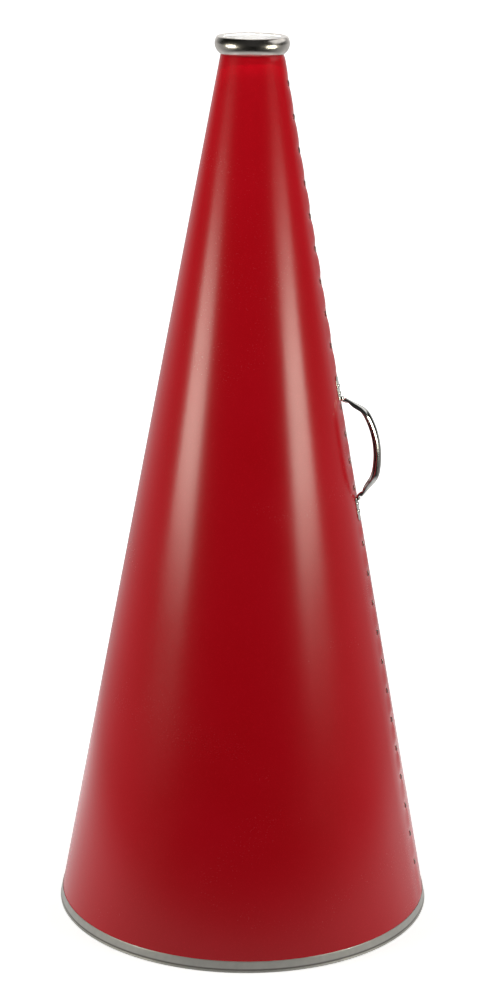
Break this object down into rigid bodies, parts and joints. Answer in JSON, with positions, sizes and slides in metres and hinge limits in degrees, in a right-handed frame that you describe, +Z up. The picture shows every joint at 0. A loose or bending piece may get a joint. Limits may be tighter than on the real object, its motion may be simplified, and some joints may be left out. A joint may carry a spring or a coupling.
{
  "type": "handheld megaphone",
  "caption": "Tall red cone megaphone with a bright mouthpiece ring, a metal rim round the bell, a wire-stitched lap seam and a swinging carrying handle.",
  "frame": {"origin": "centre of the bell's resting face", "axes": "+Z up the cone's axis towards the mouthpiece, +X towards the lap seam and the handle's clips"},
  "size_m": [0.33, 0.33, 0.7691],
  "materials": {
    "red_sheet": "satin",
    "bright_ring": "polished",
    "rim_steel": "satin",
    "bright_handle": "polished",
    "bright_clip": "polished",
    "rivet_head": "polished",
    "washer_steel": "zinc plated",
    "stitch_wire": "tinned wire"
  },
  "bodies": {
    "horn": {"horn_cone": "red_sheet", "mouthpiece_ring": "bright_ring", "bell_rim": "rim_steel", "upper_clip": "bright_clip", "lower_clip": "bright_clip", "upper_rivet_1": "rivet_head", "upper_rivet_2": "rivet_head", "lower_rivet_1": "rivet_head", "lower_rivet_2": "rivet_head", "upper_washer_1": "washer_steel", "upper_washer_2": "washer_steel", "lower_washer_1": "washer_steel", "lower_washer_2": "washer_steel", "seam_stitch_01": "stitch_wire", "seam_stitch_02": "stitch_wire", "seam_stitch_03": "stitch_wire", "seam_stitch_04": "stitch_wire", "seam_stitch_05": "stitch_wire", "seam_stitch_06": "stitch_wire", "seam_stitch_07": "stitch_wire", "seam_stitch_08": "stitch_wire", "seam_stitch_09": "stitch_wire", "seam_stitch_10": "stitch_wire", "seam_stitch_11": "stitch_wire", "seam_stitch_12": "stitch_wire", "seam_stitch_13": "stitch_wire", "seam_stitch_14": "stitch_wire", "seam_stitch_15": "stitch_wire", "seam_stitch_16": "stitch_wire", "seam_stitch_17": "stitch_wire", "seam_stitch_18": "stitch_wire", "seam_stitch_19": "stitch_wire", "seam_stitch_20": "stitch_wire", "seam_stitch_21": "stitch_wire", "seam_stitch_22": "stitch_wire", "seam_stitch_23": "stitch_wire", "seam_stitch_24": "stitch_wire", "seam_stitch_25": "stitch_wire"},
    "handle": {"handle": "bright_handle"}
  },
  "joints": [
    {"name": "handle_swing", "type": "hinge", "parent": "horn", "child": "handle", "pos_m": [0.08969, 0, 0.42243], "axis": [-0.1803, 0, 0.9836], "range_deg": [-102, 58]}
  ]
}
